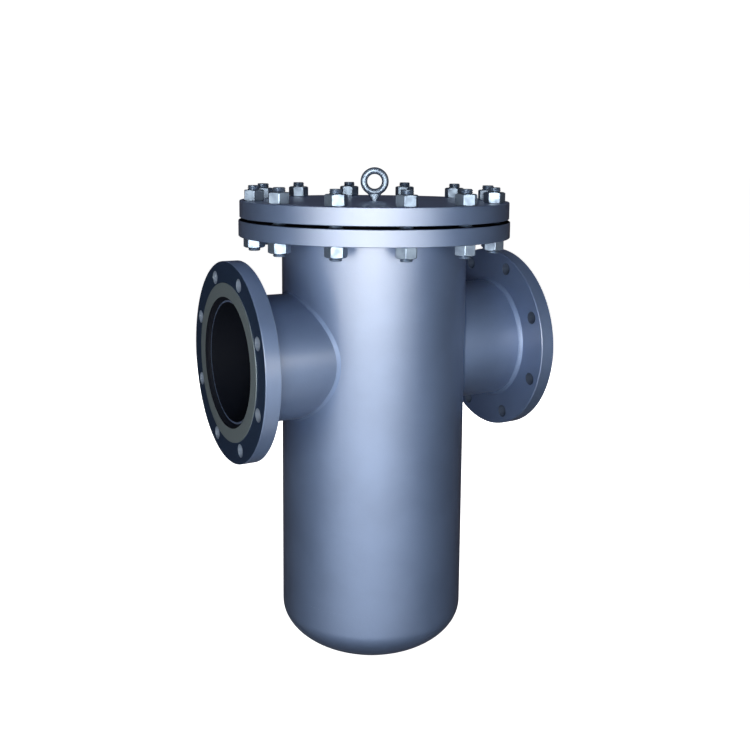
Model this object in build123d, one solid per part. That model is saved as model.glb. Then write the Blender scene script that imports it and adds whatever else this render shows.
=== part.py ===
"""Flanged basket strainer: a welded pipe body with two in-line nozzles, a bolted
cover with a lifting eye, and a lift-out basket on a slanted diverter plate.

Frame: millimetres. The origin is the centre of the inlet's raised face, +X runs
with the flow from the inlet to the outlet, and +Z is up.
"""
from build123d import *
from math import atan, cos, degrees, radians, sin, sqrt
import os

# --- Driving dimensions -------------------------------------------------------
FACE_TO_FACE = 564.0          # inlet raised face to outlet raised face

# Nozzles: 8 in pipe with 150 lb drilled slip-on plate flanges
NOZZLE_OD = 219.1
NOZZLE_WALL = 8.2
NOZZLE_FLANGE_OD = 343.0
NOZZLE_FLANGE_THICK = 28.4    # with the raised face
NOZZLE_FLANGE_BORE = 221.5
NOZZLE_RAISED_OD = 269.9
NOZZLE_PCD = 298.5
NOZZLE_HOLE = 22.4
NOZZLE_HOLES = 8
NOZZLE_SET_BACK = 8.0         # pipe end behind the raised face

# Body: rolled plate shell with a 2:1 elliptical bottom head
BODY_OD = 332.0
BODY_WALL = 9.5
HEAD_DEPTH = 83.0             # outside, from the tangent line
HEAD_STRAIGHT = 38.0
HEAD_TANGENT_Z = -476.0

# Body flange and cover: 12 in, 150 lb drilling
BODY_FLANGE_OD = 485.0
BODY_FLANGE_BORE = 335.4
BODY_FLANGE_BOTTOM_Z = 206.6
BODY_FLANGE_RIM = 28.2
COVER_OD = 481.0
COVER_RIM = 29.5
COVER_RAISED_OD = 381.0
COVER_PCD = 431.8
COVER_HOLE = 25.4
COVER_BOLTS = 12
RAISED_FACE = 1.6
GASKET_THICK = 1.5
GASKET_OD = 406.0
SHELL_SET_BACK = 8.0          # shell end below the raised face

# Studs and nuts, 7/8 in, drawn without threads
STUD_DIA = 22.0
NUT_BORE = 22.6
NUT_FLATS = 33.3
NUT_HEIGHT = 19.0
STUD_ABOVE_NUT = 8.0
STUD_BELOW_NUT = 5.5
# Where each nut stopped when it was tightened, in degrees, from the outlet side round
UPPER_NUT_TURNS = [1, 32, 6, 51, 23, 24, 52, 2, 34, 0, 9, 20]
LOWER_NUT_TURNS = [12, 40, 25, 5, 33, 50, 28, 55, 42, 11, 50, 15]

# Lifting eye
EYE_CENTRE = 34.0             # ring centre above the cover
EYE_RING_RADIUS = 20.3        # to the middle of the round bar
EYE_BAR = 10.2
EYE_SHANK = 12.7
EYE_NECK_HEIGHT = 14.5        # where the neck's taper meets the ring
EYE_NECK_WIDTH = 31.0
EYE_TURN = 28.7               # turned from facing -Y, towards -X, where its thread stops
EYE_DEPTH = 22.0

# Diverter plate, seat ring and basket
PLATE_THICK = 6.0
PLATE_REACH = 112.0           # its height above and below the nozzle axis at the shell wall
SEAT_THICK = 8.0
SEAT_HOLE = 228.0
SEAT_OD = 276.0
SCREEN_OD = 220.0
SCREEN_THICK = 2.0
MESH_THICK = 0.8
MESH_GAP = 0.2
BASKET_BOTTOM_Z = -425.0
BASKET_RIM_OD = 268.0
BASKET_RIM_THICK = 6.0
BAND_HEIGHT = 25.0
BAND_THICK = 2.0
STRAPS = 4
STRAP_WIDTH = 20.0
HANDLE_BAR = 10.0
HANDLE_SPREAD = 121.0         # each leg from the body axis
HANDLE_BEND = 45.0
HANDLE_CLEARANCE = 3.0        # below the cover

# Drain: G 3/4 coupling and hexagon plug
COUPLING_OD = 36.0
COUPLING_LENGTH = 25.0
COUPLING_BELOW = 8.0
DRAIN_THREAD = 26.4
DRAIN_THREAD_CLEARANCE = 0.3
DRAIN_THREAD_LENGTH = 16.0
DRAIN_COLLAR = 36.0
DRAIN_COLLAR_THICK = 4.0
DRAIN_HEX_FLATS = 27.0
DRAIN_HEX_HEIGHT = 9.0
DRAIN_WASHER_OD = 33.0
DRAIN_WASHER_THICK = 2.0

# Welds
FLANGE_WELD = 6.0             # leg of an outside fillet
INNER_WELD = 6.0
SADDLE_WELD = 4.0             # legs of the fillet weld between nozzle and shell
FIT_UP_GAP = 0.5

# --- Places worked out from them ----------------------------------------------
AXIS_X = FACE_TO_FACE / 2
BODY_R = BODY_OD / 2
BODY_IN = BODY_R - BODY_WALL
NOZZLE_R = NOZZLE_OD / 2
NOZZLE_IN = NOZZLE_R - NOZZLE_WALL
FLANGE_FACE_Z = BODY_FLANGE_BOTTOM_Z + BODY_FLANGE_RIM + RAISED_FACE
COVER_FACE_Z = FLANGE_FACE_Z + GASKET_THICK
COVER_BOTTOM_Z = COVER_FACE_Z + RAISED_FACE
COVER_TOP_Z = COVER_BOTTOM_Z + COVER_RIM
SHELL_TOP_Z = FLANGE_FACE_Z - SHELL_SET_BACK
SHELL_BOTTOM_Z = HEAD_TANGENT_Z + HEAD_STRAIGHT
HEAD_BOTTOM_Z = HEAD_TANGENT_Z - HEAD_DEPTH
SLANT = degrees(atan(PLATE_REACH / BODY_IN))
COUPLING_BOTTOM_Z = HEAD_BOTTOM_Z - COUPLING_BELOW
BODY_AXIS = Axis((AXIS_X, 0, 0), (0, 0, 1))
BIG = 4 * BODY_OD             # longer than anything it cuts
UPWARD = (Align.CENTER, Align.CENTER, Align.MIN)
DOWNWARD = (Align.CENTER, Align.CENTER, Align.MAX)


def body_axis(x=0.0, y=0.0, z=0.0):
    """A place measured from the body's vertical axis."""
    return Location((AXIS_X + x, y, z))


def disc(radius, low, high):
    """An upright cylinder on the body axis between two heights."""
    return body_axis(z=low) * Cylinder(radius, high - low, align=UPWARD)


def tube(outer, inner, low, high):
    """An upright tube on the body axis between two heights."""
    return disc(outer, low, high) - disc(inner, low - 1, high + 1)


def flow_disc(radius, start, end):
    """A cylinder along the flow, on the nozzle axis."""
    rod = Cylinder(radius, end - start, align=UPWARD)
    return Location((start, 0, 0), (0, 90, 0)) * rod


def on_bolt_circle(shape, turns=(0,) * COVER_BOLTS):
    """One of these at every cover bolt, each turned about itself by its own angle."""
    pieces = []
    for i, turn in enumerate(turns):
        angle = (i + 0.5) * 360 / COVER_BOLTS
        place = body_axis() * Rotation(0, 0, angle) * Location((COVER_PCD / 2, 0, 0))
        pieces.append(place * Rotation(0, 0, turn) * shape)
    return pieces


def revolved(points):
    """A closed outline of (radius, height) points turned round the body axis."""
    outline = [(AXIS_X + r, 0, z) for r, z in points]
    face = make_face(Polyline(*outline, close=True))
    return revolve(face, BODY_AXIS)


def revolved_flow(points):
    """A closed outline of (x, radius) points turned round the nozzle axis."""
    face = make_face(Polyline(*[(x, 0, r) for x, r in points], close=True))
    return revolve(face, Axis.X)


def at_outlet(shape):
    """The same piece turned half a turn about the body axis, to the outlet side."""
    return shape.rotate(BODY_AXIS, 180)


# --- Body ---------------------------------------------------------------------
def body_shell():
    shell = tube(BODY_R, BODY_IN, SHELL_BOTTOM_Z, SHELL_TOP_Z)
    return shell - flow_disc(NOZZLE_R + FIT_UP_GAP, -1, FACE_TO_FACE + 1)


def head_half(radius, depth):
    """Half an ellipsoid below the tangent line with the straight flange above it."""
    quarter = Ellipse(radius, depth) & Rectangle(radius, depth, align=(Align.MIN, Align.MAX))
    straight = Rectangle(radius, HEAD_STRAIGHT, align=(Align.MIN, Align.MIN))
    upright = Plane(origin=(AXIS_X, 0, HEAD_TANGENT_Z), x_dir=(1, 0, 0), z_dir=(0, -1, 0))
    return revolve(upright * (quarter + straight), BODY_AXIS)


def bottom_head():
    head = head_half(BODY_R, HEAD_DEPTH) - head_half(BODY_IN, HEAD_DEPTH - BODY_WALL)
    return head - disc(COUPLING_OD / 2, HEAD_BOTTOM_Z - 1, HEAD_TANGENT_Z)


def cover_drilling(low, high):
    """The cover's bolt holes, as cylinders to cut away."""
    return on_bolt_circle(Location((0, 0, low)) * Cylinder(COVER_HOLE / 2, high - low, align=UPWARD))


def body_flange():
    rim_top = BODY_FLANGE_BOTTOM_Z + BODY_FLANGE_RIM
    plate = chamfer(disc(BODY_FLANGE_OD / 2, BODY_FLANGE_BOTTOM_Z, rim_top).edges(), 1.0)
    plate += disc(COVER_RAISED_OD / 2, rim_top, FLANGE_FACE_Z)
    plate -= disc(BODY_FLANGE_BORE / 2, BODY_FLANGE_BOTTOM_Z - 1, FLANGE_FACE_Z + 1)
    return plate - cover_drilling(BODY_FLANGE_BOTTOM_Z - 1, FLANGE_FACE_Z)


def nozzle_pipe():
    end = AXIS_X - BODY_IN / 2
    pipe = flow_disc(NOZZLE_R, NOZZLE_SET_BACK, end) - flow_disc(NOZZLE_IN, 0, end + 1)
    return pipe - disc(BODY_IN, -BODY_OD, BODY_OD)


def nozzle_flange():
    """Slip-on plate flange, its bolt holes straddling the centre lines."""
    plate = flow_disc(NOZZLE_FLANGE_OD / 2, RAISED_FACE, NOZZLE_FLANGE_THICK)
    plate = chamfer(plate.edges(), 1.0) + flow_disc(NOZZLE_RAISED_OD / 2, 0, RAISED_FACE)
    plate -= flow_disc(NOZZLE_FLANGE_BORE / 2, -1, NOZZLE_FLANGE_THICK + 1)
    hole = flow_disc(NOZZLE_HOLE / 2, -1, NOZZLE_FLANGE_THICK + 1)
    for i in range(NOZZLE_HOLES):
        angle = radians((i + 0.5) * 360 / NOZZLE_HOLES)
        plate -= Location((0, NOZZLE_PCD / 2 * cos(angle), NOZZLE_PCD / 2 * sin(angle))) * hole
    return plate


def nozzle_flange_welds():
    """Outside and inside fillet round one slip-on flange."""
    back = NOZZLE_FLANGE_THICK
    outside = [(back, NOZZLE_R), (back, NOZZLE_R + FLANGE_WELD), (back + FLANGE_WELD, NOZZLE_R)]
    face = NOZZLE_SET_BACK
    bore = NOZZLE_FLANGE_BORE / 2
    inside = [(face, bore), (face - INNER_WELD, bore), (face, bore - INNER_WELD)]
    return [revolved_flow(outside), revolved_flow(inside)]


def body_flange_welds():
    low = BODY_FLANGE_BOTTOM_Z
    outside = [(BODY_R, low), (BODY_R + FLANGE_WELD, low), (BODY_R, low - FLANGE_WELD)]
    bore = BODY_FLANGE_BORE / 2
    inside = [(bore, SHELL_TOP_Z), (bore, SHELL_TOP_Z + INNER_WELD), (bore - INNER_WELD, SHELL_TOP_Z)]
    return [revolved(outside), revolved(inside)]


def saddle_weld():
    """Flat fillet weld between the inlet nozzle and the shell, along their seam."""
    shell = disc(BODY_R, -BODY_OD / 2, BODY_OD / 2)
    nozzle = flow_disc(NOZZLE_R, NOZZLE_FLANGE_THICK, AXIS_X)
    joined = shell + nozzle
    seam = [e for e in joined.edges() if e.geom_type not in (GeomType.CIRCLE, GeomType.LINE)]
    return chamfer(seam, SADDLE_WELD) - shell - nozzle


# --- Closure ------------------------------------------------------------------
def cover_gasket():
    return tube(GASKET_OD / 2, BODY_FLANGE_BORE / 2, FLANGE_FACE_Z, COVER_FACE_Z)


def cover_flange():
    plate = chamfer(disc(COVER_OD / 2, COVER_BOTTOM_Z, COVER_TOP_Z).edges(), 1.0)
    plate += disc(COVER_RAISED_OD / 2, COVER_FACE_Z, COVER_BOTTOM_Z)
    plate -= disc(EYE_SHANK / 2, COVER_TOP_Z - EYE_DEPTH, COVER_TOP_Z + 1)
    return plate - cover_drilling(COVER_FACE_Z - 1, COVER_TOP_Z + 1)


def lifting_eyebolt():
    """Forged eye on a tapered neck, screwed into the cover."""
    ring = Location((0, 0, EYE_CENTRE), (90, 0, 0)) * Torus(EYE_RING_RADIUS, EYE_BAR / 2)
    shank = Cylinder(EYE_SHANK / 2, EYE_DEPTH - 1, align=DOWNWARD)
    shoulder = Location((0, 0, EYE_NECK_HEIGHT)) * Ellipse(EYE_NECK_WIDTH / 2, EYE_BAR / 2)
    neck = loft([Circle(EYE_SHANK / 2), shoulder])
    return body_axis(z=COVER_TOP_Z) * Rotation(0, 0, -EYE_TURN) * (ring + shank + neck)


def stud():
    low = BODY_FLANGE_BOTTOM_Z - NUT_HEIGHT - STUD_BELOW_NUT
    high = COVER_TOP_Z + NUT_HEIGHT + STUD_ABOVE_NUT
    rod = Cylinder(STUD_DIA / 2, high - low, align=UPWARD)
    return Location((0, 0, low)) * chamfer(rod.edges().filter_by(GeomType.CIRCLE), 1.5)


def nut(low):
    """Hexagon nut with both faces chamfered to a round."""
    blank = extrude(RegularPolygon(NUT_FLATS / 2, 6, major_radius=False), NUT_HEIGHT)
    cone = Cylinder(NUT_FLATS / sqrt(3), NUT_HEIGHT, align=UPWARD)
    body = blank & chamfer(cone.edges().filter_by(GeomType.CIRCLE), 1.3, 2.3)
    return Location((0, 0, low)) * (body - Cylinder(NUT_BORE / 2, BIG))


# --- Diverter and basket ------------------------------------------------------
def slab(low, high):
    """A slanted slab rising towards the outlet, between two heights above the diverter's
    middle plane, measured square to it."""
    block = Box(BIG, BIG, high - low, align=UPWARD)
    return body_axis() * Rotation(0, -SLANT, 0) * Location((0, 0, low)) * block


SEAT_LOW = PLATE_THICK / 2
SEAT_HIGH = SEAT_LOW + SEAT_THICK
RIM_HIGH = SEAT_HIGH + BASKET_RIM_THICK


def slanted_ring(outer, inner, low, high):
    """A slanted ring that is round when it is seen from above."""
    return slab(low, high) & tube(outer, inner, -BIG / 4, BIG / 4)


def diverter_plate():
    return slanted_ring(BODY_IN, SEAT_HOLE / 2, -SEAT_LOW, SEAT_LOW)


def basket_seat_ring():
    return slanted_ring(SEAT_OD / 2, SEAT_HOLE / 2, SEAT_LOW, SEAT_HIGH)


def basket_rim():
    return slanted_ring(BASKET_RIM_OD / 2, SCREEN_OD / 2 - SCREEN_THICK, SEAT_HIGH, RIM_HIGH)


def below_rim(outer, inner, bottom):
    """A tube that hangs from the slanted rim."""
    return tube(outer, inner, bottom, BIG / 4) - slab(SEAT_HIGH, BIG / 2)


SCREEN_R = SCREEN_OD / 2
SCREEN_IN = SCREEN_R - SCREEN_THICK
MESH_R = SCREEN_IN - MESH_GAP


def basket_screen():
    return below_rim(SCREEN_R, SCREEN_IN, BASKET_BOTTOM_Z)


def basket_mesh():
    return below_rim(MESH_R, MESH_R - MESH_THICK, BASKET_BOTTOM_Z + SCREEN_THICK)


def basket_bottom():
    return disc(SCREEN_IN, BASKET_BOTTOM_Z, BASKET_BOTTOM_Z + SCREEN_THICK)


def basket_bottom_band():
    return tube(SCREEN_R + BAND_THICK, SCREEN_R, BASKET_BOTTOM_Z, BASKET_BOTTOM_Z + BAND_HEIGHT)


def basket_straps():
    """Upright strips outside the screen, from the band to the rim."""
    wall = below_rim(SCREEN_R + BAND_THICK, SCREEN_R, BASKET_BOTTOM_Z + BAND_HEIGHT)
    strips = []
    for i in range(STRAPS):
        strip = Box(BIG / 2, STRAP_WIDTH, BIG, align=(Align.MIN, Align.CENTER, Align.CENTER))
        strips.append(wall & (body_axis() * Rotation(0, 0, 45 + 90 * i) * strip))
    return strips


def basket_handle():
    """Round bar bent over the basket, its feet welded to the rim and its top close
    under the cover, so that the cover holds the basket down."""
    top = COVER_FACE_Z - HANDLE_CLEARANCE - HANDLE_BAR / 2
    corners = [(AXIS_X, side * HANDLE_SPREAD, z) for side, z in ((-1, 0), (-1, top), (1, top), (1, 0))]
    path = FilletPolyline(*corners, radius=HANDLE_BEND)
    bar = sweep(Plane(origin=path @ 0, z_dir=path % 0) * Circle(HANDLE_BAR / 2), path)
    return bar - slab(-BIG / 4, RIM_HIGH)


# --- Drain --------------------------------------------------------------------
def drain_coupling():
    bore = DRAIN_THREAD / 2 + DRAIN_THREAD_CLEARANCE
    return tube(COUPLING_OD / 2, bore, COUPLING_BOTTOM_Z, COUPLING_BOTTOM_Z + COUPLING_LENGTH)


def drain_weld():
    """Fillet round the coupling, its upper side following the head."""
    low = HEAD_BOTTOM_Z - 5
    radius = COUPLING_OD / 2
    inside_head = HEAD_BOTTOM_Z + 2
    outline = [(radius, low), (radius + 5, HEAD_BOTTOM_Z), (radius + 5, inside_head), (radius, inside_head)]
    return revolved(outline) - head_half(BODY_R, HEAD_DEPTH)


def drain_washer():
    top = COUPLING_BOTTOM_Z
    return tube(DRAIN_WASHER_OD / 2, DRAIN_THREAD / 2 + DRAIN_THREAD_CLEARANCE, top - DRAIN_WASHER_THICK, top)


def drain_plug():
    collar_top = COUPLING_BOTTOM_Z - DRAIN_WASHER_THICK
    collar_low = collar_top - DRAIN_COLLAR_THICK
    plug = disc(DRAIN_COLLAR / 2, collar_low, collar_top)
    plug += disc(DRAIN_THREAD / 2, collar_top, collar_top + DRAIN_THREAD_LENGTH + DRAIN_WASHER_THICK)
    hexagon = extrude(RegularPolygon(DRAIN_HEX_FLATS / 2, 6, major_radius=False), DRAIN_HEX_HEIGHT)
    return plug + body_axis(z=collar_low - DRAIN_HEX_HEIGHT) * hexagon


# --- Write one file for each node ---------------------------------------------
inlet_saddle = saddle_weld()
inlet_pipe = nozzle_pipe()
inlet_flange = nozzle_flange()
inlet_welds = nozzle_flange_welds()

NODES = {
    "body_shell": body_shell(),
    "bottom_head": bottom_head(),
    "body_flange": body_flange(),
    "body_flange_welds": body_flange_welds(),
    "inlet_nozzle_pipe": inlet_pipe,
    "inlet_flange": inlet_flange,
    "inlet_flange_welds": inlet_welds,
    "inlet_saddle_weld": inlet_saddle,
    "outlet_nozzle_pipe": at_outlet(inlet_pipe),
    "outlet_flange": at_outlet(inlet_flange),
    "outlet_flange_welds": [at_outlet(w) for w in inlet_welds],
    "outlet_saddle_weld": at_outlet(inlet_saddle),
    "diverter_plate": diverter_plate(),
    "basket_seat_ring": basket_seat_ring(),
    "cover_gasket": cover_gasket(),
    "cover_studs": on_bolt_circle(stud()),
    "lower_nuts": on_bolt_circle(nut(BODY_FLANGE_BOTTOM_Z - NUT_HEIGHT), LOWER_NUT_TURNS),
    "drain_coupling": drain_coupling(),
    "drain_weld": drain_weld(),
    "cover_flange": cover_flange(),
    "lifting_eyebolt": lifting_eyebolt(),
    "upper_nuts": on_bolt_circle(nut(COVER_TOP_Z), UPPER_NUT_TURNS),
    "basket_rim": basket_rim(),
    "basket_screen": basket_screen(),
    "basket_mesh": basket_mesh(),
    "basket_bottom": basket_bottom(),
    "basket_bottom_band": basket_bottom_band(),
    "basket_straps": basket_straps(),
    "basket_handle": basket_handle(),
    "drain_washer": drain_washer(),
    "drain_plug": drain_plug(),
}

os.makedirs("parts", exist_ok=True)
for name, shape in NODES.items():
    pieces = shape if isinstance(shape, list) else [shape]
    solids = [solid for piece in pieces for solid in piece.solids()]
    node = Compound(children=solids) if len(solids) > 1 else solids[0]
    export_step(node, f"parts/{name}.step")
    print(f"{name}: {len(solids)} solid(s), {sum(s.volume for s in solids) / 1000:.1f} cm3")
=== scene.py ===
# %% [markdown]
# # A flanged basket strainer
# A basket strainer is a steel pot let into a pipeline. Water comes in at one flange, drops
# into a perforated basket that keeps the dirt, and leaves at the other flange. The cover is
# bolted down and is lifted off by its eye when the basket has to be emptied.
# The engineering model brings every steel part at its real size. This lesson gives each
# part its finish, and builds again, in finer detail, the parts that catch the eye: studs
# with real threads, chamfered nuts, the forged eye, rippled welds and the pierced basket.

from math import atan2, cos, pi, radians, sin, tan

import bmesh
import bpy
from mathutils import Matrix, Vector, noise


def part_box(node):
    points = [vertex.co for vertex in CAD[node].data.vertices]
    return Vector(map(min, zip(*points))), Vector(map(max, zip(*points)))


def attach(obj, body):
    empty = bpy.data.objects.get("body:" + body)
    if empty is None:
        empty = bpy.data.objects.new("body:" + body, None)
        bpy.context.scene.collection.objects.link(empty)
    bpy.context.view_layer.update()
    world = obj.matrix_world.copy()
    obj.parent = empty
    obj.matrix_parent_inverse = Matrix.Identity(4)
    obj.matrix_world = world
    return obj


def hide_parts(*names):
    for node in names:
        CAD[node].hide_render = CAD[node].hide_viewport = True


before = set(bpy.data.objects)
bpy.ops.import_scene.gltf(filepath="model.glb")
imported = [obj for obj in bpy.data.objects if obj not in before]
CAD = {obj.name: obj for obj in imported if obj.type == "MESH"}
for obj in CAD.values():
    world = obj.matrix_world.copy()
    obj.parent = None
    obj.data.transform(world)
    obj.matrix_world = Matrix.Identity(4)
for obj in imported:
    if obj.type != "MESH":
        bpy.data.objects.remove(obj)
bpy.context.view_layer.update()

# %% [markdown]
# ## The places everything hangs on
# Every number that the frame can tell is read from the frame: the body's axis, the height
# of the flanges, the nozzle lengths. Drawings of pipework are in millimetres and Blender
# counts in metres, so the meshes are drawn in millimetres and scaled once, at the end.

# %% Driving sizes
MM = 0.001


def span(node, axis):
    """Lowest and highest coordinate of a node along one axis, in millimetres."""
    low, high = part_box(node)
    return low[axis] / MM, high[axis] / MM


SHELL_LEFT, SHELL_RIGHT = span("body_shell", 0)
AXIS_X = (SHELL_LEFT + SHELL_RIGHT) / 2
BODY_R = (SHELL_RIGHT - SHELL_LEFT) / 2
BODY_WALL = 9.5
FACE_TO_FACE = span("outlet_flange", 0)[1]
COVER_TOP = span("cover_flange", 2)[1]
FLANGE_BOTTOM = span("body_flange", 2)[0]
HEAD_BOTTOM = span("bottom_head", 2)[0]
PLUG_BOTTOM = span("drain_plug", 2)[0]
print(f"body axis at x {AXIS_X:.1f} mm, radius {BODY_R:.2f} mm, cover top at {COVER_TOP:.1f} mm")

# %% [markdown]
# ## The camera
# Pipework reads best from a little above its nozzles, through a lens that keeps upright
# edges nearly parallel. The camera could be aimed with a constraint, but three turns are
# easier to read: tilt it up from the floor, lean it, and swing it round. The lens is
# shifted down a touch so that the tall body sits in the middle of the frame.

# %% Camera
CAMERA_PLACE = Vector((-0.5137, -1.4524, 0.3456))
CAMERA_SWING = radians(28.791)
CAMERA_PITCH = radians(7.444)
CAMERA_LEAN = radians(0.506)
CAMERA_LENS = 44.13
CAMERA_SHIFT = -0.13
FILM_WIDTH = 36.0

camera = bpy.data.objects.new("camera", bpy.data.cameras.new("camera"))
bpy.context.scene.collection.objects.link(camera)
swing = Matrix.Rotation(-CAMERA_SWING, 4, "Z")
tilt = Matrix.Rotation(pi / 2 - CAMERA_PITCH, 4, "X")
lean = Matrix.Rotation(CAMERA_LEAN, 4, "Z")
camera.matrix_world = Matrix.Translation(CAMERA_PLACE) @ swing @ tilt @ lean
camera.data.lens = CAMERA_LENS
camera.data.sensor_width = FILM_WIDTH
camera.data.shift_y = CAMERA_SHIFT
bpy.context.scene.camera = camera

axis_foot = Vector((AXIS_X * MM, 0, 0))
bearing = (CAMERA_PLACE - axis_foot).to_2d()
print(f"the camera stands {bearing.length:.2f} m from the body's axis")

# %% [markdown]
# ## A short way to write a finish
# A finish in Blender is a small wiring diagram: texture nodes feed the shader's sockets.
# It could be wired by hand in the editor. Written as code it needs three verbs, which this
# class gives: add a node, do a sum, and mix two values by a mask.

# %% The Finish helper
class Finish:
    """A material's wiring, with short ways to add nodes and join them."""

    def __init__(self, name):
        self.material = bpy.data.materials.new(name)
        self.material.use_nodes = True
        self.nodes = self.material.node_tree.nodes
        self.links = self.material.node_tree.links
        self.shader = self.nodes["Principled BSDF"]
        self.place = self.add("ShaderNodeTexCoord", {}).outputs["Object"]

    def give(self, socket, value):
        """Joins a node's output to a socket, or sets the socket to a plain value."""
        if isinstance(value, bpy.types.NodeSocket):
            self.links.new(value, socket)
        else:
            socket.default_value = value

    def add(self, kind, inputs, **settings):
        node = self.nodes.new(kind)
        for key, value in settings.items():
            setattr(node, key, value)
        for key, value in inputs.items():
            self.give(node.inputs[key], value)
        return node

    def sum(self, operation, *values):
        """One arithmetic node."""
        return self.add("ShaderNodeMath", dict(enumerate(values)), operation=operation).outputs[0]

    def vector(self, operation, *values):
        """One vector node; a length comes out as its Value."""
        return self.add("ShaderNodeVectorMath", dict(enumerate(values)), operation=operation)

    def mix(self, mask, low, high):
        """A number that goes from low to high as the mask goes from 0 to 1."""
        return self.add("ShaderNodeMix", {0: mask, 2: low, 3: high}).outputs[0]

    def mix_colour(self, mask, low, high):
        inputs = {0: mask, 6: low, 7: high}
        return self.add("ShaderNodeMix", inputs, data_type="RGBA").outputs[2]

    def noise(self, scale, detail, stretch=(1, 1, 1)):
        """Soft random cloud; scale is blotches per metre, and stretch squeezes an axis."""
        place = self.vector("MULTIPLY", self.place, stretch).outputs[0]
        inputs = {"Vector": place, "Scale": scale, "Detail": detail}
        return self.add("ShaderNodeTexNoise", inputs).outputs["Fac"]

    def ramp(self, value, low, high):
        """0 below low, 1 above high, and a smooth step between."""
        inputs = {"Value": value, "From Min": low, "From Max": high}
        return self.add("ShaderNodeMapRange", inputs, interpolation_type="SMOOTHSTEP").outputs[0]

    def apart(self):
        """The x, y and z of the place."""
        return self.add("ShaderNodeSeparateXYZ", {0: self.place}).outputs

    def radius(self, centre, keep):
        """Distance from an axis through centre; keep has a 0 along the axis."""
        moved = self.vector("SUBTRACT", self.place, centre).outputs[0]
        flat = self.vector("MULTIPLY", moved, keep).outputs[0]
        return self.vector("LENGTH", flat).outputs["Value"]

    def bump(self, height, depth, under=None):
        """Tilts the surface as if height, from 0 to 1, stood depth metres proud."""
        inputs = {"Height": height, "Distance": depth, "Strength": 1.0}
        if under is not None:
            inputs["Normal"] = under
        return self.add("ShaderNodeBump", inputs).outputs[0]

    def set(self, **sockets):
        """Gives the shader's sockets by name, with _ for a space."""
        for name, value in sockets.items():
            self.give(self.shader.inputs[name.replace("_", " ")], value)


print("Finish can add, sum, mix, ramp and bump")

# %% [markdown]
# ## The floor
# The floor is a wide pale disc just under the drain plug. It could be a plane from the Add
# menu, but one polygon with many corners keeps the horizon level all the way round. It
# glows a little by itself, so that no shadow turns it grey.

# %% Floor
FLOOR_GAP = 2.0
FLOOR_RADIUS = 60.0
FLOOR_HEIGHT = (PLUG_BOTTOM - FLOOR_GAP) * MM


def stage_mesh(name, points, faces, material):
    """A sheet of the stage, which isn't part of the strainer."""
    mesh = bpy.data.meshes.new(name)
    mesh.from_pydata(points, [], faces)
    mesh.materials.append(material)
    sheet = bpy.data.objects.new(name, mesh)
    bpy.context.scene.collection.objects.link(sheet)
    return sheet


def glowing(name):
    """A matt white surface with a little light of its own, so that no shadow turns it grey."""
    white = Finish(name)
    white.set(Base_Color=(0.8, 0.8, 0.8, 1), Roughness=0.9, Specular_IOR_Level=0.0)
    white.set(Emission_Color=(1, 1, 1, 1), Emission_Strength=1.0)
    return white.material


def pale_floor():
    turns = [2 * pi * k / 96 for k in range(96)]
    edge = [(FLOOR_RADIUS * cos(t), FLOOR_RADIUS * sin(t), FLOOR_HEIGHT) for t in turns]
    sheet = stage_mesh("floor", edge, [range(96)], glowing("pale_floor"))
    sheet.visible_glossy = False
    sheet.visible_diffuse = False


pale_floor()
print("floor at", round(FLOOR_HEIGHT, 4), "m")

# %% [markdown]
# ## What the steel sees round it
# Glossy steel shows everything round it, so a white room would wash the paint out. A studio
# hides the room from the reflections with black flags: here the floor is kept out of them,
# and the world has three faces. The camera sees white, soft shading gets a cool even glow,
# and the gloss sees a dim room with a brown wall, which darkens the edges of the pot.

# %% Surroundings
BACKGROUND = (1, 1, 1, 1), 1.1
COOL_GLOW = (0.62, 0.74, 1.0, 1), 0.03
DIM_ROOM = (1.0, 0.72, 0.66, 1), 0.030


def world_face(nodes, colour, strength):
    face = nodes.new("ShaderNodeBackground")
    face.inputs["Color"].default_value = colour
    face.inputs["Strength"].default_value = strength
    return face.outputs[0]


def surroundings():
    """White to the camera, an even glow for soft shading, a dim room for the gloss."""
    world = bpy.data.worlds.new("studio")
    bpy.context.scene.world = world
    world.use_nodes = True
    nodes, links = world.node_tree.nodes, world.node_tree.links
    nodes.clear()
    path = nodes.new("ShaderNodeLightPath")
    white = world_face(nodes, *BACKGROUND)
    glow = world_face(nodes, *COOL_GLOW)
    room = world_face(nodes, *DIM_ROOM)
    shown = glow
    for ray, face in (("Is Glossy Ray", room), ("Is Camera Ray", white)):
        choice = nodes.new("ShaderNodeMixShader")
        links.new(path.outputs[ray], choice.inputs[0])
        links.new(shown, choice.inputs[1])
        links.new(face, choice.inputs[2])
        shown = choice.outputs[0]
    links.new(shown, nodes.new("ShaderNodeOutputWorld").inputs["Surface"])


surroundings()
bpy.context.scene.view_settings.view_transform = "Standard"
print("backdrop, glow and room shine at", BACKGROUND[1], COOL_GLOW[1], DIM_ROOM[1])

# %% [markdown]
# ## A light for the gloss
# A round pot wants one big soft light close to the camera: it draws a pale band down the
# middle and lets the sides fall away to navy. A plain soft box would do that too, but its
# straight ends show as hard shoulders in the band. So the gloss gets its own light: a curved
# screen that glows most in its middle and fades away to both ends, and a card on the floor
# that carries the same fan down to the rounded bottom.

# %% Screen and card
KEY_TURN = -4
KEY_FAN = 70
KEY_DISTANCE = 2.6
CARD_NEAR = 0.32
SCREEN_TOP = 0.85
FAN_STEPS = 24
GLOW_NEAR = 1.3
GLOW_MEET = 5.2
GLOW_TOP = 22.0
SCREEN_WHITE = (1, 0.935, 0.80, 1)
SCREEN_RISE = -0.43, 0.05
SCREEN_FADE = 0.45


def studio_turn(turn):
    """Compass angle of a direction that is some degrees to the right of the camera."""
    return atan2(bearing.y, bearing.x) + radians(turn)


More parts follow.
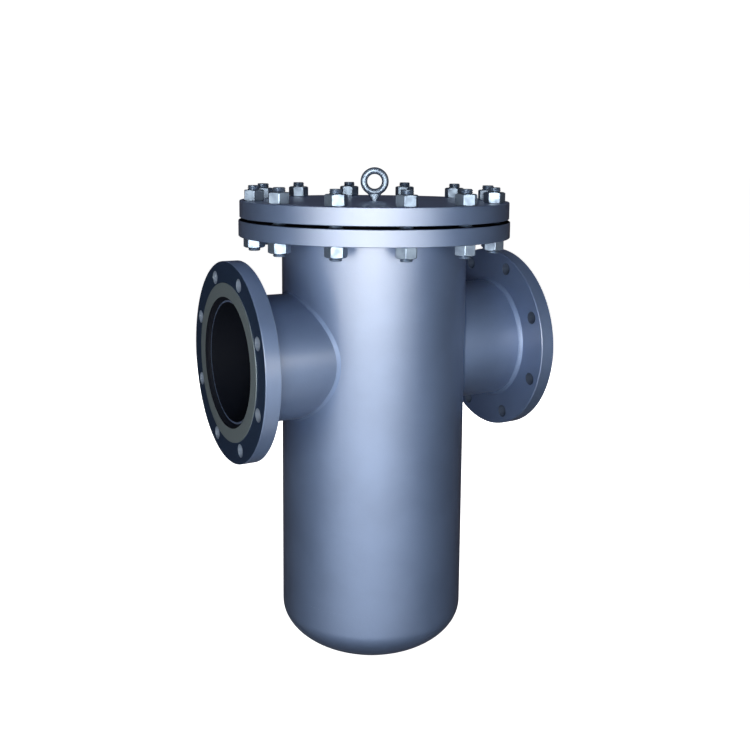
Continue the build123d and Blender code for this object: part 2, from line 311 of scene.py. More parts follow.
def fan_sheet(name, rings, level):
    """A glowing sheet between two arcs round the body's axis, each a distance and a height.
    Its glow is level times a squared cosine, which falls to nothing at both ends."""
    glow = Finish(name)
    x, y, z = glow.apart()
    turn = glow.sum("MULTIPLY", glow.sum("ARCTAN2", y, x), 90 / KEY_FAN)
    bell = glow.sum("POWER", glow.sum("MAXIMUM", glow.sum("COSINE", turn), 0.0), 2.0)
    strength = glow.sum("MULTIPLY", bell, level(glow))
    glow.set(Base_Color=(0, 0, 0, 1), Specular_IOR_Level=0.0)
    glow.set(Emission_Color=SCREEN_WHITE, Emission_Strength=strength)
    turns = [radians(KEY_FAN * (2 * k / FAN_STEPS - 1)) for k in range(FAN_STEPS + 1)]
    points = [(far * cos(t), far * sin(t), height) for far, height in rings for t in turns]
    faces = [(k, k + 1, k + FAN_STEPS + 2, k + FAN_STEPS + 1) for k in range(FAN_STEPS)]
    sheet = stage_mesh(name, points, faces, glow.material)
    sheet.location = axis_foot
    sheet.rotation_euler = (0, 0, studio_turn(KEY_TURN))
    sheet.visible_camera = sheet.visible_diffuse = False


def card_level(glow):
    out = glow.ramp(glow.radius((0, 0, 0), (1, 1, 0)), CARD_NEAR, KEY_DISTANCE)
    return glow.mix(out, GLOW_NEAR, GLOW_MEET)


def screen_level(glow):
    height = glow.apart()[2]
    rise = glow.mix(glow.ramp(height, *SCREEN_RISE), GLOW_MEET, GLOW_TOP)
    return glow.sum("MULTIPLY", rise, glow.ramp(height, SCREEN_TOP, SCREEN_FADE))


card_height = FLOOR_HEIGHT + 0.01
fan_sheet("floor_card", [(CARD_NEAR, card_height), (KEY_DISTANCE, card_height)], card_level)
fan_sheet("key_screen", [(KEY_DISTANCE, card_height), (KEY_DISTANCE, SCREEN_TOP)], screen_level)
print(f"key screen {2 * KEY_FAN} degrees wide at {KEY_DISTANCE} m, glowing up to {GLOW_TOP}")

# %% [markdown]
# ## Lamps for the blue
# The pigment itself is shaded by ordinary lamps: one near the camera, one overhead and one
# right behind the strainer. They are kept out of the reflections, because their square
# outlines would show in the coat. They stand nearer than the screen, or it would shade them.

# %% Lamps
def lamp(name, turn, distance, height, wide, tall, power, tilt=90):
    """A rectangular lamp that faces the body's axis, or downwards with tilt 0. It shades the
    steel, but no gloss mirrors it."""
    light = bpy.data.lights.new(name, "AREA")
    light.shape = "RECTANGLE"
    light.size, light.size_y = wide, tall
    light.energy = power
    box = bpy.data.objects.new(name, light)
    compass = studio_turn(turn)
    box.location = axis_foot + Vector((distance * cos(compass), distance * sin(compass), height))
    box.rotation_euler = (radians(tilt), 0, compass + pi / 2)
    box.visible_camera = box.visible_glossy = False
    bpy.context.scene.collection.objects.link(box)


lamp("shading_lamp", turn=0, distance=2.3, height=0.12, wide=0.5, tall=0.9, power=26)
lamp("top_lamp", turn=0, distance=0.2, height=1.7, wide=1.2, tall=1.2, power=16, tilt=0)
lamp("back_strip", turn=180, distance=2.6, height=-0.15, wide=0.3, tall=0.7, power=80)
print("lamps:", ", ".join(light.name for light in bpy.data.lights))

# %% [markdown]
# ## Blue-grey paint
# The pot and flanges are sprayed with a semi-gloss blue-grey enamel with a metallic sheen.
# Spray paint isn't mirror flat: it dries with a fine orange peel. A plain blue shader would
# look like plastic, so the blue is partly metallic, a clear coat lies on it, and two sizes of
# noise roughen it. Other finishes are laid over the paint as layers, each with a mask that
# says where it shows.

# %% Paint
PAINT_BLUE = (0.104, 0.160, 0.300, 1)
PAINT_DEEP = (0.090, 0.140, 0.266, 1)
PAINT_METAL = 0.50
PAINT_ROUGH = 0.56, 0.68

# each layer is a colour, how metallic it is, and how rough
BARE_STEEL = (0.21, 0.27, 0.32, 1), 0.60, 0.50
# painted light: pale walls for the inlet flange's bolt holes, for the white seen through them
PALE_HOLE_LIGHT = (0.27, 0.33, 0.42, 1), 0.10, 0.50
# the outlet flange's hole walls, darker than the inlet's
DARKER_HOLE_WALL = (0.09, 0.12, 0.18, 1), 0.10, 0.50
# painted shade: a darker navy for the flange fronts, which turn away from the light
NAVY_FRONT_SHADE = (0.028, 0.052, 0.110, 1), 0.2, 0.50
# dark primer painted near black: painted shade for the bores and the gap between the flanges
DARK_PRIMER_AND_SHADE = (0.004, 0.006, 0.012, 1), 0.0, 0.70


def painted(name, *layers, gloss=1.0):
    """Sprayed enamel under layers, each a function that draws its mask and a finish."""
    paint = Finish(name)
    fleck = paint.noise(1400, 1)
    colour = paint.mix_colour(paint.ramp(paint.noise(9, 3), 0.35, 0.65), PAINT_BLUE, PAINT_DEEP)
    metallic, coat, shine = PAINT_METAL, gloss, 0.25
    rough = paint.mix(fleck, *PAINT_ROUGH)
    for mask_of, (tone, metal, roughness) in layers:
        mask = mask_of(paint)
        colour = paint.mix_colour(mask, colour, tone)
        metallic = paint.mix(mask, metallic, metal)
        rough = paint.mix(mask, rough, roughness)
        coat = paint.mix(mask, coat, 0.0)
        shine = paint.mix(mask, shine, 0.05)
    peel = paint.bump(paint.noise(260, 2), 0.12 * MM)
    paint.set(Base_Color=colour, Metallic=metallic, Roughness=rough, Specular_IOR_Level=shine)
    paint.set(Coat_Weight=coat, Coat_Roughness=0.30, Coat_IOR=1.5)
    paint.set(Normal=paint.bump(fleck, 0.02 * MM, peel))
    return paint.material


def dress(material, *nodes):
    """Gives a finish to parts of the engineering model."""
    for node in nodes:
        CAD[node].material_slots[0].material = material


dress(painted("blue_grey_enamel"), "drain_coupling", "drain_weld")
dress(painted("saddle_enamel", gloss=0.2), "inlet_saddle_weld", "outlet_saddle_weld")
print("enamel on the drain coupling and, less glossy, on the nozzle welds")

# %% [markdown]
# ## Primer and painted shade inside
# Where the sprayer doesn't reach, the insides keep a dark primer. It is painted near black,
# so it also paints the shade that falls inside the pot and the nozzles. The inner faces could
# be picked out and given a material of their own, but the engineering model's meshes aren't
# changed here. So a mask tells inside from outside by the distance from an axis.

# %% Masks for the insides
BODY_AXIS = (AXIS_X * MM, 0, 0)
NOZZLE_AXIS = (0, 0, 0)
NOZZLE_R = span("inlet_nozzle_pipe", 1)[1]
NOZZLE_WALL = 8.2
HEAD_SKIRT = 38.0
SKIN = 0.6


def from_body_axis(paint):
    return paint.radius(BODY_AXIS, (1, 1, 0))


def from_nozzle_axis(paint):
    return paint.radius(NOZZLE_AXIS, (0, 1, 1))


def inside_shell(paint):
    return paint.sum("LESS_THAN", from_body_axis(paint), (BODY_R - BODY_WALL + SKIN) * MM)


def inside_nozzle(paint):
    return paint.sum("LESS_THAN", from_nozzle_axis(paint), (NOZZLE_R - NOZZLE_WALL + SKIN) * MM)


def inside_head(paint):
    """Inside the inner ellipsoid, which hangs from the head's tangent line."""
    tangent = span("bottom_head", 2)[1] - HEAD_SKIRT
    wide = (BODY_R - BODY_WALL + SKIN) * MM
    deep = (tangent - HEAD_BOTTOM - BODY_WALL + SKIN) * MM
    below = paint.sum("MINIMUM", paint.sum("SUBTRACT", paint.apart()[2], tangent * MM), 0.0)
    across = paint.sum("POWER", paint.sum("DIVIDE", from_body_axis(paint), wide), 2.0)
    down = paint.sum("DIVIDE", below, deep)
    return paint.sum("LESS_THAN", paint.sum("ADD", across, paint.sum("MULTIPLY", down, down)), 1.0)


dress(painted("shell_enamel", (inside_shell, DARK_PRIMER_AND_SHADE)), "body_shell", "diverter_plate")
dress(painted("head_enamel", (inside_head, DARK_PRIMER_AND_SHADE)), "bottom_head")
nozzle_enamel = painted("nozzle_enamel", (inside_nozzle, DARK_PRIMER_AND_SHADE))
dress(nozzle_enamel, "inlet_nozzle_pipe", "outlet_nozzle_pipe")
print("enamel outside and primer inside on the shell, head and nozzles")

# %% [markdown]
# ## Bare flange faces
# A gasket seals on bare, finely grooved steel, so the raised face of each flange is turned
# on a lathe and never painted. The front round it is painted a dark navy, which is painted
# shade for a face that turns away from the light. The walls of the inlet flange's bolt holes
# are painted pale, a painted light for the white seen through them, and those of the outlet
# flange are darker. All this could be separate meshes, but a mask that measures distances is
# exact and costs no faces.

# %% Flange finishes
RAISED_FACE = 1.6
FLANGE_HOLES = 8
FLANGE_PCD = 298.5
HOLE_RADIUS = 11.2
BORE_GAP = 1.2
HAIR = 0.1


def past(axis, place, direction):
    """A mask beyond a place on an axis: direction is 1 for above it and -1 for below it."""
    def mask(paint):
        off = paint.sum("SUBTRACT", paint.apart()[axis], place * MM)
        return paint.sum("GREATER_THAN", paint.sum("MULTIPLY", off, direction), 0.0)
    return mask


def bolt_holes(paint):
    """A mask on the walls of the nozzle flange's holes: the turn is folded on to one hole."""
    x, y, z = paint.apart()
    step = 2 * pi / FLANGE_HOLES
    folded = paint.sum("PINGPONG", paint.sum("ARCTAN2", z, y), step / 2)
    turn = paint.sum("SUBTRACT", folded, step / 2)
    out = from_nozzle_axis(paint)
    along = paint.sum("MULTIPLY", out, paint.sum("COSINE", turn))
    radial = paint.sum("SUBTRACT", along, FLANGE_PCD / 2 * MM)
    side = paint.sum("MULTIPLY", out, paint.sum("SINE", turn))
    gap = paint.sum("ADD", paint.sum("MULTIPLY", radial, radial), paint.sum("MULTIPLY", side, side))
    return paint.sum("LESS_THAN", gap, ((HOLE_RADIUS + SKIN / 2) * MM) ** 2)


def in_bore(paint):
    return paint.sum("LESS_THAN", from_nozzle_axis(paint), (NOZZLE_R + BORE_GAP + SKIN) * MM)


def nozzle_flange(name, face, inward, hole_tone):
    """Enamel with a navy front in painted shade, hole walls in the given tone, a bare raised
    face and near-black painted shade in the bore.
    """
    front = past(0, face + inward * (RAISED_FACE + HAIR), -inward)
    raised = past(0, face + inward * (RAISED_FACE - HAIR), -inward)
    return painted(name, (front, NAVY_FRONT_SHADE), (bolt_holes, hole_tone), (raised, BARE_STEEL),
                   (in_bore, DARK_PRIMER_AND_SHADE))


dress(nozzle_flange("inlet_flange_enamel", 0, 1, PALE_HOLE_LIGHT), "inlet_flange")
dress(nozzle_flange("outlet_flange_enamel", FACE_TO_FACE, -1, DARKER_HOLE_WALL), "outlet_flange")

flange_face = span("body_flange", 2)[1]
cover_face = span("cover_flange", 2)[0]
# the body flange's top face round its raised face and the cover's underside get near-black painted
# shade for the narrow gap between them
dress(painted("body_flange_enamel",
              (inside_shell, DARK_PRIMER_AND_SHADE),
              (past(2, flange_face - RAISED_FACE - HAIR, 1), DARK_PRIMER_AND_SHADE),
              (past(2, flange_face - HAIR, 1), BARE_STEEL)), "body_flange")
dress(painted("cover_enamel",
              (past(2, cover_face + RAISED_FACE + HAIR, -1), DARK_PRIMER_AND_SHADE),
              (past(2, cover_face + HAIR, -1), BARE_STEEL)), "cover_flange")
print("raised faces bare, bolt holes bright, the gap under the cover dark")

# %% [markdown]
# ## Zinc plate
# The studs, nuts, eye and plug are zinc plated: a bluish, bright metal that goes cloudy in
# patches. One even grey would look like plastic, so a soft cloud changes both the colour
# and the roughness.

# %% Zinc
def bright_zinc():
    zinc = Finish("bright_zinc")
    cloud = zinc.ramp(zinc.noise(70, 2), 0.35, 0.7)
    colour = zinc.mix_colour(cloud, (0.17, 0.23, 0.33, 1), (0.12, 0.165, 0.25, 1))
    rough = zinc.mix(cloud, 0.40, 0.52)
    zinc.set(Base_Color=colour, Metallic=0.75, Roughness=rough)
    zinc.set(Normal=zinc.bump(zinc.noise(300, 2), 0.004 * MM))
    return zinc.material


zinc = bright_zinc()
print("zinc plate is ready for the studs, nuts, eye and plug")

# %% [markdown]
# ## Stainless and turned steel
# The basket is rolled from stainless sheet with a satin brushing, and its seat ring is
# turned on a lathe. Both are the same noise drawn out: along the brushing for the sheet,
# and round the axis for the ring. A stretched noise is cheaper than drawn scratches.

# %% Stainless and turned steel
def satin_stainless():
    """Brushed steel: noise drawn out along the brushing direction, which is upright."""
    steel = Finish("satin_stainless")
    grain = steel.noise(700, 2, (1, 1, 0.03))
    colour = steel.mix_colour(grain, (0.50, 0.49, 0.47, 1), (0.66, 0.65, 0.63, 1))
    rough = steel.mix(grain, 0.24, 0.42)
    steel.set(Base_Color=colour, Metallic=1.0, Roughness=rough)
    steel.set(Normal=steel.bump(grain, 0.02 * MM))
    return steel.material


def turned_steel():
    steel = Finish("turned_steel")
    cloud = steel.noise(60, 3)
    colour = steel.mix_colour(cloud, (0.30, 0.32, 0.32, 1), (0.42, 0.43, 0.42, 1))
    grooves = steel.noise(1800, 1, (1, 1, 0.05))
    steel.set(Base_Color=colour, Metallic=1.0, Roughness=steel.mix(cloud, 0.28, 0.44))
    steel.set(Normal=steel.bump(grooves, 0.01 * MM))
    return steel.material


stainless = satin_stainless()
dress(stainless, "basket_rim", "basket_bottom_band", "basket_straps", "basket_handle")
dress(turned_steel(), "basket_seat_ring")
print("stainless on the basket's frame, turned steel on its seat")

# %% [markdown]
# ## Gasket and washer
# The gasket is matt pressed fibre, so it gets a fine speck and no shine; its very dark tone
# also paints the shade in the narrow gap between the flanges. The drain washer is soft
# annealed copper, which scale and handling leave in brighter and darker clouds.

# %% Fibre and copper
def fibre_and_gap_shade():
    fibre = Finish("fibre_and_gap_shade")
    speck = fibre.noise(1500, 3)
    # very dark: the fibre's own tone, darkened further as painted shade for the narrow gap
    colour = fibre.mix_colour(speck, (0.035, 0.042, 0.045, 1), (0.075, 0.085, 0.088, 1))
    fibre.set(Base_Color=colour, Roughness=fibre.mix(speck, 0.75, 0.95))
    fibre.set(Normal=fibre.bump(speck, 0.05 * MM))
    return fibre.material


def soft_copper():
    copper = Finish("soft_copper")
    cloud = copper.noise(150, 3)
    colour = copper.mix_colour(cloud, (0.80, 0.42, 0.27, 1), (0.52, 0.26, 0.17, 1))
    copper.set(Base_Color=colour, Metallic=1.0, Roughness=copper.mix(cloud, 0.28, 0.5))
    copper.set(Normal=copper.bump(cloud, 0.05 * MM))
    return copper.material


dress(fibre_and_gap_shade(), "cover_gasket")
dress(soft_copper(), "drain_washer")
print("fibre gasket and copper washer")

# %% [markdown]
# ## Woven wire lining
# A fine wire mesh lines the basket. Modelled wire by wire it would have hundreds of
# thousands of faces, at a size that nobody sees. So the weave is drawn on the thin CAD tube
# as two waves, one round it and one up it: high is wire, and low in both is a hole. The holes
# are painted near black, a painted shade for the dim inside seen through them.

# %% Woven wire
WIRE_PITCH = 1.25
MESH_RADIUS = span("basket_mesh", 1)[1]


def woven_wire():
    """Plain weave wrapped round the basket: bright wires, and holes in near-black painted shade."""
    wire = Finish("woven_wire")
    x, y, z = wire.apart()
    turn = wire.sum("ARCTAN2", y, wire.sum("SUBTRACT", x, AXIS_X * MM))
    round_it = wire.sum("SINE", wire.sum("MULTIPLY", turn, round(pi * MESH_RADIUS / WIRE_PITCH)))
    up_it = wire.sum("SINE", wire.sum("MULTIPLY", z, pi / WIRE_PITCH / MM))
    height = wire.sum("MAXIMUM", wire.sum("ABSOLUTE", round_it), wire.sum("ABSOLUTE", up_it))
    shaded_hole = wire.ramp(height, 0.62, 0.50)
    # the holes are painted near black: painted shade for the dim inside seen through them
    colour = wire.mix_colour(shaded_hole, (0.56, 0.55, 0.53, 1), (0.03, 0.03, 0.03, 1))
    wire.set(Base_Color=colour, Metallic=wire.mix(shaded_hole, 1.0, 0.0))
    wire.set(Roughness=wire.mix(height, 0.6, 0.3), Normal=wire.bump(height, 0.3 * MM))
    return wire.material


dress(woven_wire(), "basket_mesh")
print(f"wire woven every {WIRE_PITCH} mm on a tube of radius {MESH_RADIUS:.1f} mm")

# %% [markdown]
# ## From rings to a piece
# Almost everything on a strainer is turned or extruded, so it is drawn as rings of points:
# each ring is joined to the next with a band of quads. Blender's own cylinder would give
# only straight walls, and rings can follow a thread, a chamfer or a weld.

# %% Rings
def ring_of(bm, points):
    return [bm.verts.new(point) for point in points]


def band(bm, low, high):
    """Quads between two rings with the same number of points."""
    count = len(low)
    for k in range(count):
        after = (k + 1) % count
        bm.faces.new((low[k], low[after], high[after], high[k]))


def stack(bm, rings, closed=False):
    """Bands through a list of rings; closed joins the last to the first, else it caps the ends."""
    for low, high in zip(rings, rings[1:]):
        band(bm, low, high)
    if closed:
        band(bm, rings[-1], rings[0])
    else:
        bm.faces.new(rings[0][::-1])
        bm.faces.new(rings[-1])


print("rings can be banded and stacked")

# %% [markdown]
# ## Handing a piece over
# Every finished mesh is scaled to metres, shaded, named, and hung on the body that it moves
# with, and the CAD nodes that it stands for are hidden. One helper does this for all of
# them, so that no piece is left behind when the cover lifts.

# %% Finish a piece
def finish_piece(name, bm, body, material, replaces, smooth):
    """Scales a mesh to metres, shades it, and hangs it on a body in place of CAD nodes."""
    bmesh.ops.scale(bm, vec=(MM, MM, MM), verts=bm.verts)
    bmesh.ops.recalc_face_normals(bm, faces=bm.faces)
    mesh = bpy.data.meshes.new(name)
    bm.to_mesh(mesh)
    bm.free()
    mesh.shade_smooth()
    mesh.set_sharp_from_angle(angle=radians(smooth))
    mesh.materials.append(material)
    piece = bpy.data.objects.new(name, mesh)
    bpy.context.scene.collection.objects.link(piece)
    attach(piece, body)
    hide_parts(*replaces)
    low, high = (Vector(corner) / MM for corner in (piece.bound_box[0], piece.bound_box[6]))
    reach = f"x {low.x:.0f} to {high.x:.0f}, z {low.z:.0f} to {high.z:.0f} mm"
    print(f"{name}: {len(mesh.polygons)} faces, {reach}")
    return piece


# %% [markdown]
# ## The bolt circle
# Studs and both rings of nuts stand on the same twelve places, half a step off the line of
# the nozzles. A flange's bolt holes straddle its centre lines by custom.

# %% Bolt circle
COVER_PCD = 431.8
COVER_BOLTS = 12
BOLT_ANGLES = [(i + 0.5) * 360 / COVER_BOLTS for i in range(COVER_BOLTS)]


def bolt_centre(angle):
    """Centre of one cover bolt, at an angle in degrees round the body's axis."""
    return AXIS_X + COVER_PCD / 2 * cos(radians(angle)), COVER_PCD / 2 * sin(radians(angle))


print(f"{COVER_BOLTS} cover bolts on a circle of {COVER_PCD} mm")

# %% [markdown]
# ## Threaded studs
# Twelve studs run right through both flanges, threaded from end to end. A thread is a ridge
# that climbs one pitch for each turn. It could be a bump, but its saw-tooth outline shows
# against the light at every stud end, so it is real: every ring of points is pulled in or
# out by where its angle and height fall on the ridge.

# %% Studs
THREAD_PITCH = 25.4 / 9
THREAD_DEPTH = 1.5
THREAD_AROUND = 20
THREAD_ROWS = 6
STUD_RADIUS = 11.0
STUD_BEVEL = 1.8


def ridge(phase):
    """Thread height from 0 at the root to 1 at the crest, with both flattened a little."""
    return min(1.0, max(0.0, 1.25 * abs(2 * (phase % 1) - 1) - 0.12))


def threaded_rod(bm, centre, low, high, radius, pitch, depth, bevel, around=THREAD_AROUND):
    """A rod with a climbing ridge, its ends bevelled."""
    rows = round((high - low) / pitch * THREAD_ROWS)
    rings = []
    for row in range(rows + 1):
        z = low + (high - low) * row / rows
        bevelled = radius - max(0.0, bevel - min(z - low, high - z))
        points = []
        for k in range(around):
            turn = 2 * pi * k / around
            r = min(bevelled, radius - depth * (1 - ridge(z / pitch - k / around)))
            points.append((centre[0] + r * cos(turn), centre[1] + r * sin(turn), z))
        rings.append(ring_of(bm, points))
    stack(bm, rings)


def studs():
    bm = bmesh.new()
    low, high = span("cover_studs", 2)
    for angle in BOLT_ANGLES:
        threaded_rod(bm, bolt_centre(angle), low, high, STUD_RADIUS, THREAD_PITCH, THREAD_DEPTH,
                     STUD_BEVEL)
    finish_piece("threaded_studs", bm, "strainer_body", zinc,
                 ["cover_studs"], 50)


studs()

# %% [markdown]
# ## Heavy hexagon nuts
# A nut is cut from a hexagon bar, then both faces are turned down to a cone, which leaves
# a curved edge on each flat. A hexagon with six corners can't show that curve. Here each
# flat has nine columns of points, and each column stops where the cone cuts it.
# A tightened nut stops at any angle, so each has its own turn.

# %% Nuts
NUT_FLATS = 33.3
NUT_FACE = 0.955
NUT_CONE = tan(radians(30))
STUD_HOLE = 11.3
COUNTERSINK = 1
SIDE_ANGLES = [-28.2, -24, -16, -8, 0, 8, 16, 24, 28.2]
UPPER_NUT_TURNS = [1, 32, 6, 51, 23, 24, 52, 2, 34, 0, 9, 20]
LOWER_NUT_TURNS = [12, 40, 25, 5, 33, 50, 28, 55, 42, 11, 50, 15]


def hexagon_columns(flats, turn):
    """Angle and radius of each column of points round a hexagon with slightly worn corners."""
    columns = []
    for side in range(6):
        middle = turn + 30 + 60 * side
        for angle in SIDE_ANGLES:
            columns.append((radians(middle + angle), flats / 2 / cos(radians(angle))))
    return columns


def hexagon_piece(bm, centre, turn, flats, low, high, bore):
    """A chamfered hexagon from low to high, with a countersunk bore if bore isn't 0."""
    columns = hexagon_columns(flats, turn)
    face = flats / 2 * NUT_FACE
    levels = [(face, low), (None, low), (None, high), (face, high)]
    if bore:
        mouth = bore + COUNTERSINK
        levels = [(bore, low + COUNTERSINK), (mouth, low), *levels,
                  (mouth, high), (bore, high - COUNTERSINK)]
    rings = []
    for radius, z in levels:
        points = []
        for angle, corner in columns:
            r, height = radius, z
            if radius is None:
                r = corner
                drop = (corner - face) * NUT_CONE
                height = z + drop if z == low else z - drop
            points.append((centre[0] + r * cos(angle), centre[1] + r * sin(angle), height))
        rings.append(ring_of(bm, points))
    stack(bm, rings, closed=bool(bore))


def ring_of_nuts(name, body, node, turns):
    bm = bmesh.new()
    low, high = span(node, 2)
    for angle, turn in zip(BOLT_ANGLES, turns):
        hexagon_piece(bm, bolt_centre(angle), angle + turn, NUT_FLATS, low, high, STUD_HOLE)
    finish_piece(name, bm, body, zinc, [node], 20)


ring_of_nuts("cover_nuts_upper", "cover_nuts", "upper_nuts", UPPER_NUT_TURNS)
ring_of_nuts("cover_nuts_lower", "strainer_body", "lower_nuts", LOWER_NUT_TURNS)

# %% [markdown]
# ## The lifting eye
# The cover weighs over forty kilograms, so a forged eye bolt stands in its middle. Forging
# leaves no corners: ring and neck run into each other in soft hollows. A ring and a tapered
# neck are made first, then remeshed as one skin and relaxed, which fills the corners.

# %% Eye bolt
EYE_CENTRE = 34.0
EYE_RADIUS = 19.2
EYE_BAR = 6.2
EYE_TURN = radians(28.7)
EYE_VOXEL = 0.8
# height over the cover, half width and half depth of the neck, from its root up
NECK_STEPS = [(-21.0, 6.35, 6.35), (0.0, 6.35, 6.35), (2.0, 6.9, 6.2), (6.0, 8.6, 5.8),
              (10.0, 11.4, 5.3), (13.2, 13.6, 4.4)]


def round_bar_ring(bm, centre_z, radius, bar, around=96, section=24):
    """A closed ring of round bar in the upright XZ plane."""
    rings = []
    for k in range(around):
        turn = 2 * pi * k / around
        points = []
        for j in range(section):
            swell = 2 * pi * j / section
            out = radius + bar * cos(swell)
            points.append((out * cos(turn), bar * sin(swell), centre_z + out * sin(turn)))
        rings.append(ring_of(bm, points))
    stack(bm, rings, closed=True)


def neck(bm):
    """From a round foot to a wide oval just inside the ring."""
    turns = [2 * pi * k / 32 for k in range(32)]
    rings = []
    for z, wide, deep in NECK_STEPS:
        rings.append(ring_of(bm, [(wide * cos(t), deep * sin(t), z) for t in turns]))
    stack(bm, rings)


def lifting_eye():
    bm = bmesh.new()
    round_bar_ring(bm, EYE_CENTRE, EYE_RADIUS, EYE_BAR)
    neck(bm)
    swung = Matrix.Rotation(-EYE_TURN, 3, "Z")
    bmesh.ops.rotate(bm, cent=(0, 0, 0), matrix=swung, verts=bm.verts)
    bmesh.ops.translate(bm, vec=(AXIS_X, 0, COVER_TOP), verts=bm.verts)
    eye = finish_piece("forged_eye", bm, "cover", zinc,
                       ["lifting_eyebolt"], 180)
    skin = eye.modifiers.new("one_skin", "REMESH")
    skin.mode = "VOXEL"
    skin.voxel_size = EYE_VOXEL * MM
    skin.use_smooth_shade = True
    relax = eye.modifiers.new("soft_hollows", "SMOOTH")
    relax.factor = 0.5
    relax.iterations = 8


lifting_eye()

# %% [markdown]
# ## Weld beads
# Every flange is held by two fillet welds, one outside and one in its bore. A welder lays
# the bead as overlapping drops, so it is a row of small crescents. A torus could stand for
# it, but then the paint would show one unbroken bright line. Here the section of the bead
# swells and sinks by under half a millimetre, and the swelling lags at the two toes.

# %% Welds
WELD_LEG = 6.0
RIPPLE = 3.2
RIPPLE_STEPS = 4
SET_BACK = 8.0
BITE = 0.3
NOZZLE_FLANGE_BORE_R = 110.75
BODY_FLANGE_BORE_R = 167.7
SHELL_TOP = span("body_shell", 2)[1]
NOZZLE_FLANGE_BACK = span("inlet_flange", 0)[1]


def weld_bead(bm, place, along, radius, axial, radial):
    """A fillet bead in the corner at (along, radius); axial and radial are the signs of its
    two legs. place turns (along, radius, angle) into a point."""
    drops = round(2 * pi * radius / RIPPLE)
    steps = drops * RIPPLE_STEPS
    rings = []
    for k in range(steps):
        turn = 2 * pi * k / steps
        wander = 1 + 0.05 * noise.noise(Vector((4 * cos(turn), 4 * sin(turn), radius)))
        section = [(-BITE, -BITE)]
        for j in range(6):
            s = j / 5
            lag = (2 * s - 1) ** 2
            drop = ((k / RIPPLE_STEPS + 0.7 * lag) % 1) ** 1.5
            swell = 4 * s * (1 - s) * (0.35 + 0.45 * drop)
            leg = WELD_LEG * wander
            section.append((leg * (1 - s) + swell, leg * s + swell))
        points = [place(along + axial * v, radius + radial * u, turn) for u, v in section]
        rings.append(ring_of(bm, points))
    stack(bm, rings, closed=True)


def round_nozzle(along, radius, turn):
    return along, radius * cos(turn), radius * sin(turn)


def round_body(along, radius, turn):
    return AXIS_X + radius * cos(turn), radius * sin(turn), along


def flange_welds(name, place, outer, inner, sign, inside):
    """The outside and bore beads of one flange; sign points from the flange to the pipe."""
    bm = bmesh.new()
    weld_bead(bm, place, *outer, sign, 1)
    weld_bead(bm, place, *inner, -sign, -1)
    # the bore bead gets the same near-black painted shade as the bore
    enamel = painted(name + "_weld_enamel", (inside, DARK_PRIMER_AND_SHADE), gloss=0.4)
    finish_piece(name + "_beads", bm, "strainer_body", enamel,
                 [name + "_welds"], 60)


back = NOZZLE_FLANGE_BACK
flange_welds("inlet_flange", round_nozzle, (back, NOZZLE_R), (SET_BACK, NOZZLE_FLANGE_BORE_R), 1,
             past(0, back / 2, -1))
flange_welds("outlet_flange", round_nozzle, (FACE_TO_FACE - back, NOZZLE_R),
             (FACE_TO_FACE - SET_BACK, NOZZLE_FLANGE_BORE_R), -1,
             past(0, FACE_TO_FACE - back / 2, 1))
flange_welds("body_flange", round_body, (FLANGE_BOTTOM, BODY_R),
             (SHELL_TOP, BODY_FLANGE_BORE_R), -1, past(2, (FLANGE_BOTTOM + SHELL_TOP) / 2, 1))

# %% [markdown]
# ## The pierced basket
# The basket is rolled from perforated sheet: 8 mm holes in staggered rows, 12 mm apart.
# Cutting thousands of cylinders out of a tube is slow. Instead the sheet is drawn as bricks,
# each with an eight-sided window, and each row is shifted by half a brick. The corners of
# one row then meet the middles of the next, so the sheet is closed.

# %% Pierced sheet
HOLE = 8.0
HOLES_AROUND = 58
SHEET = 2.0
SAME_POINT = 0.01
SCREEN_BOTTOM = span("basket_screen", 2)[0]
SCREEN_R = span("basket_screen", 1)[1]
HOLE_PITCH = 2 * pi * SCREEN_R / HOLES_AROUND
ROW_PITCH = HOLE_PITCH * cos(radians(30))


def pierced_brick(bm, centre_s, centre_t, to_place):
    """One brick with a window; its outline has eight points, so that bricks can meet."""
    half_s, half_t = HOLE_PITCH / 2, ROW_PITCH / 2
    outline = [(1, -1), (1, 0), (1, 1), (0, 1), (-1, 1), (-1, 0), (-1, -1), (0, -1)]
    outer, inner = [], []
    for k, (i, j) in enumerate(outline):
        turn = radians(45 * (k - 1))
        window = centre_s + HOLE / 2 * cos(turn), centre_t + HOLE / 2 * sin(turn)
        outer.append(bm.verts.new(to_place(centre_s + i * half_s, centre_t + j * half_t)))
        inner.append(bm.verts.new(to_place(*window)))
    band(bm, outer, inner)


def rows_between(low, high):
    return range(int((high - low) / ROW_PITCH) + 2)


def keep_side(bm, point, outward):
    """Cuts the sheet with a plane and throws away the side that outward points to."""
    every = [*bm.verts, *bm.edges, *bm.faces]
    bmesh.ops.bisect_plane(bm, geom=every, plane_co=point, plane_no=outward, clear_outer=True)


def basket_sheet(name, bm, node):
    """Hangs a flat or bent sheet on the basket and gives it its thickness inwards."""
    piece = finish_piece(name, bm, "basket", stainless, [node], 30)
    sheet = piece.modifiers.new("sheet_thickness", "SOLIDIFY")
    sheet.thickness = SHEET * MM
    sheet.offset = -1


print(f"holes {HOLE_PITCH:.2f} mm apart in rows {ROW_PITCH:.2f} mm apart")

# %% [markdown]
# ## The basket's wall
# The wall is the sheet bent round, cut off by the slanted plane of the rim. The basket sits
# on a slanted plate, so that all the water has to pass through it. Bending flat bricks by
# code keeps every hole the same size, and a modifier gives the sheet its thickness.

# %% Basket wall
PLATE_REACH = 112.0
SEAT_RISE = 11.0
SLANT = atan2(PLATE_REACH, BODY_R - BODY_WALL)
RIM_NORMAL = Vector((-sin(SLANT), 0, cos(SLANT)))
RIM_POINT = Vector((AXIS_X, 0, 0)) + SEAT_RISE * RIM_NORMAL


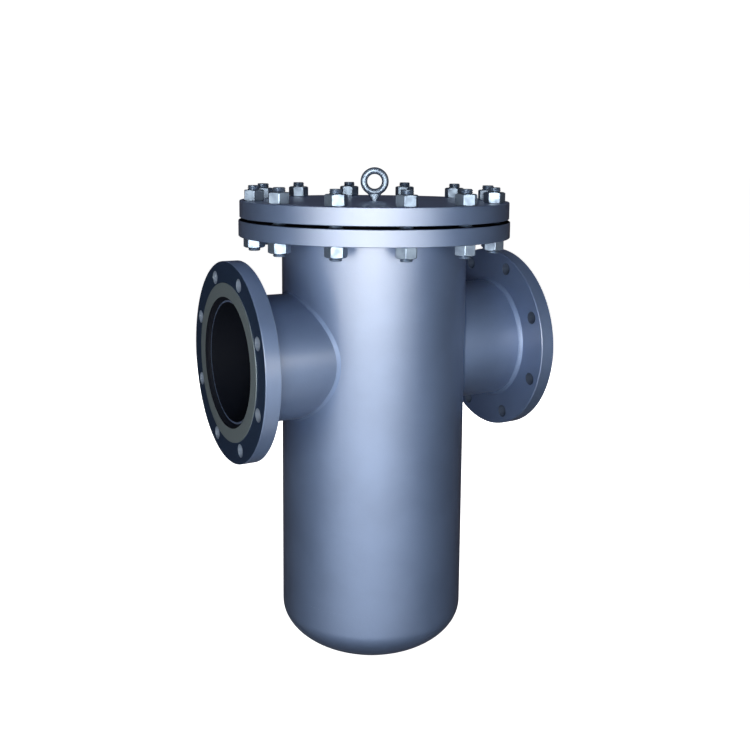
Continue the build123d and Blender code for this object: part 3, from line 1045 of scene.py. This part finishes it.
def basket_screen():
    bm = bmesh.new()
    top = span("basket_screen", 2)[1]
    for row in rows_between(SCREEN_BOTTOM, top):
        for k in range(HOLES_AROUND):
            centre = (k + row % 2 / 2) * HOLE_PITCH
            pierced_brick(bm, centre, SCREEN_BOTTOM + (row + 0.5) * ROW_PITCH,
                          lambda s, t: round_body(t, SCREEN_R, s / SCREEN_R))
    bmesh.ops.remove_doubles(bm, verts=bm.verts, dist=SAME_POINT)
    keep_side(bm, RIM_POINT, RIM_NORMAL)
    basket_sheet("pierced_screen", bm, "basket_screen")


basket_screen()

# %% [markdown]
# ## The basket's bottom
# The bottom is the same sheet left flat and trimmed to a disc. The trimming could be one
# boolean cut, but that is slow on so many holes, so plain cuts go round it one by one.

# %% Basket bottom
FLOOR_SIDES = 48


def basket_floor():
    bm = bmesh.new()
    low, high = span("basket_bottom", 2)
    reach = span("basket_bottom", 1)[1]
    for row in rows_between(-reach, reach):
        for k in range(-10, 11):
            pierced_brick(bm, (k + row % 2 / 2) * HOLE_PITCH, (row + 0.5) * ROW_PITCH - reach,
                          lambda s, t: (AXIS_X + s, t, high))
    bmesh.ops.remove_doubles(bm, verts=bm.verts, dist=SAME_POINT)
    for k in range(FLOOR_SIDES):
        turn = 2 * pi * k / FLOOR_SIDES
        outward = Vector((cos(turn), sin(turn), 0))
        keep_side(bm, Vector((AXIS_X, 0, high)) + outward * reach * cos(pi / FLOOR_SIDES), outward)
    basket_sheet("pierced_floor", bm, "basket_bottom")


basket_floor()

# %% [markdown]
# ## The drain plug
# The plug is turned from hexagon bar: a head for the spanner, a collar that presses on the
# copper washer, and a threaded shank. It uses the same nut and thread functions, because
# on the bench it is the same work.

# %% Drain plug
PLUG_FLATS = 27.0
PLUG_HEAD = 9.0
COLLAR = 4.0
COLLAR_R = 18.0
COLLAR_EDGE = 0.8
SHANK_R = 13.2
SHANK_PITCH = 25.4 / 14
SHANK_DEPTH = 1.1
SHANK_BEVEL = 1.2


def drain_plug():
    bm = bmesh.new()
    low, high = span("drain_plug", 2)
    centre = (AXIS_X, 0)
    foot = low + PLUG_HEAD
    hexagon_piece(bm, centre, 0, PLUG_FLATS, low, foot, 0)
    face = COLLAR_R - COLLAR_EDGE
    section = [(face, 0), (COLLAR_R, COLLAR_EDGE), (COLLAR_R, COLLAR - COLLAR_EDGE), (face, COLLAR)]
    turns = [2 * pi * k / 64 for k in range(64)]
    rings = []
    for radius, z in section:
        rings.append(ring_of(bm, [round_body(foot + z, radius, t) for t in turns]))
    stack(bm, rings)
    threaded_rod(bm, centre, foot + COLLAR, high, SHANK_R, SHANK_PITCH, SHANK_DEPTH,
                 SHANK_BEVEL, 48)
    finish_piece("turned_plug", bm, "plug", zinc, ["drain_plug"], 30)


drain_plug()
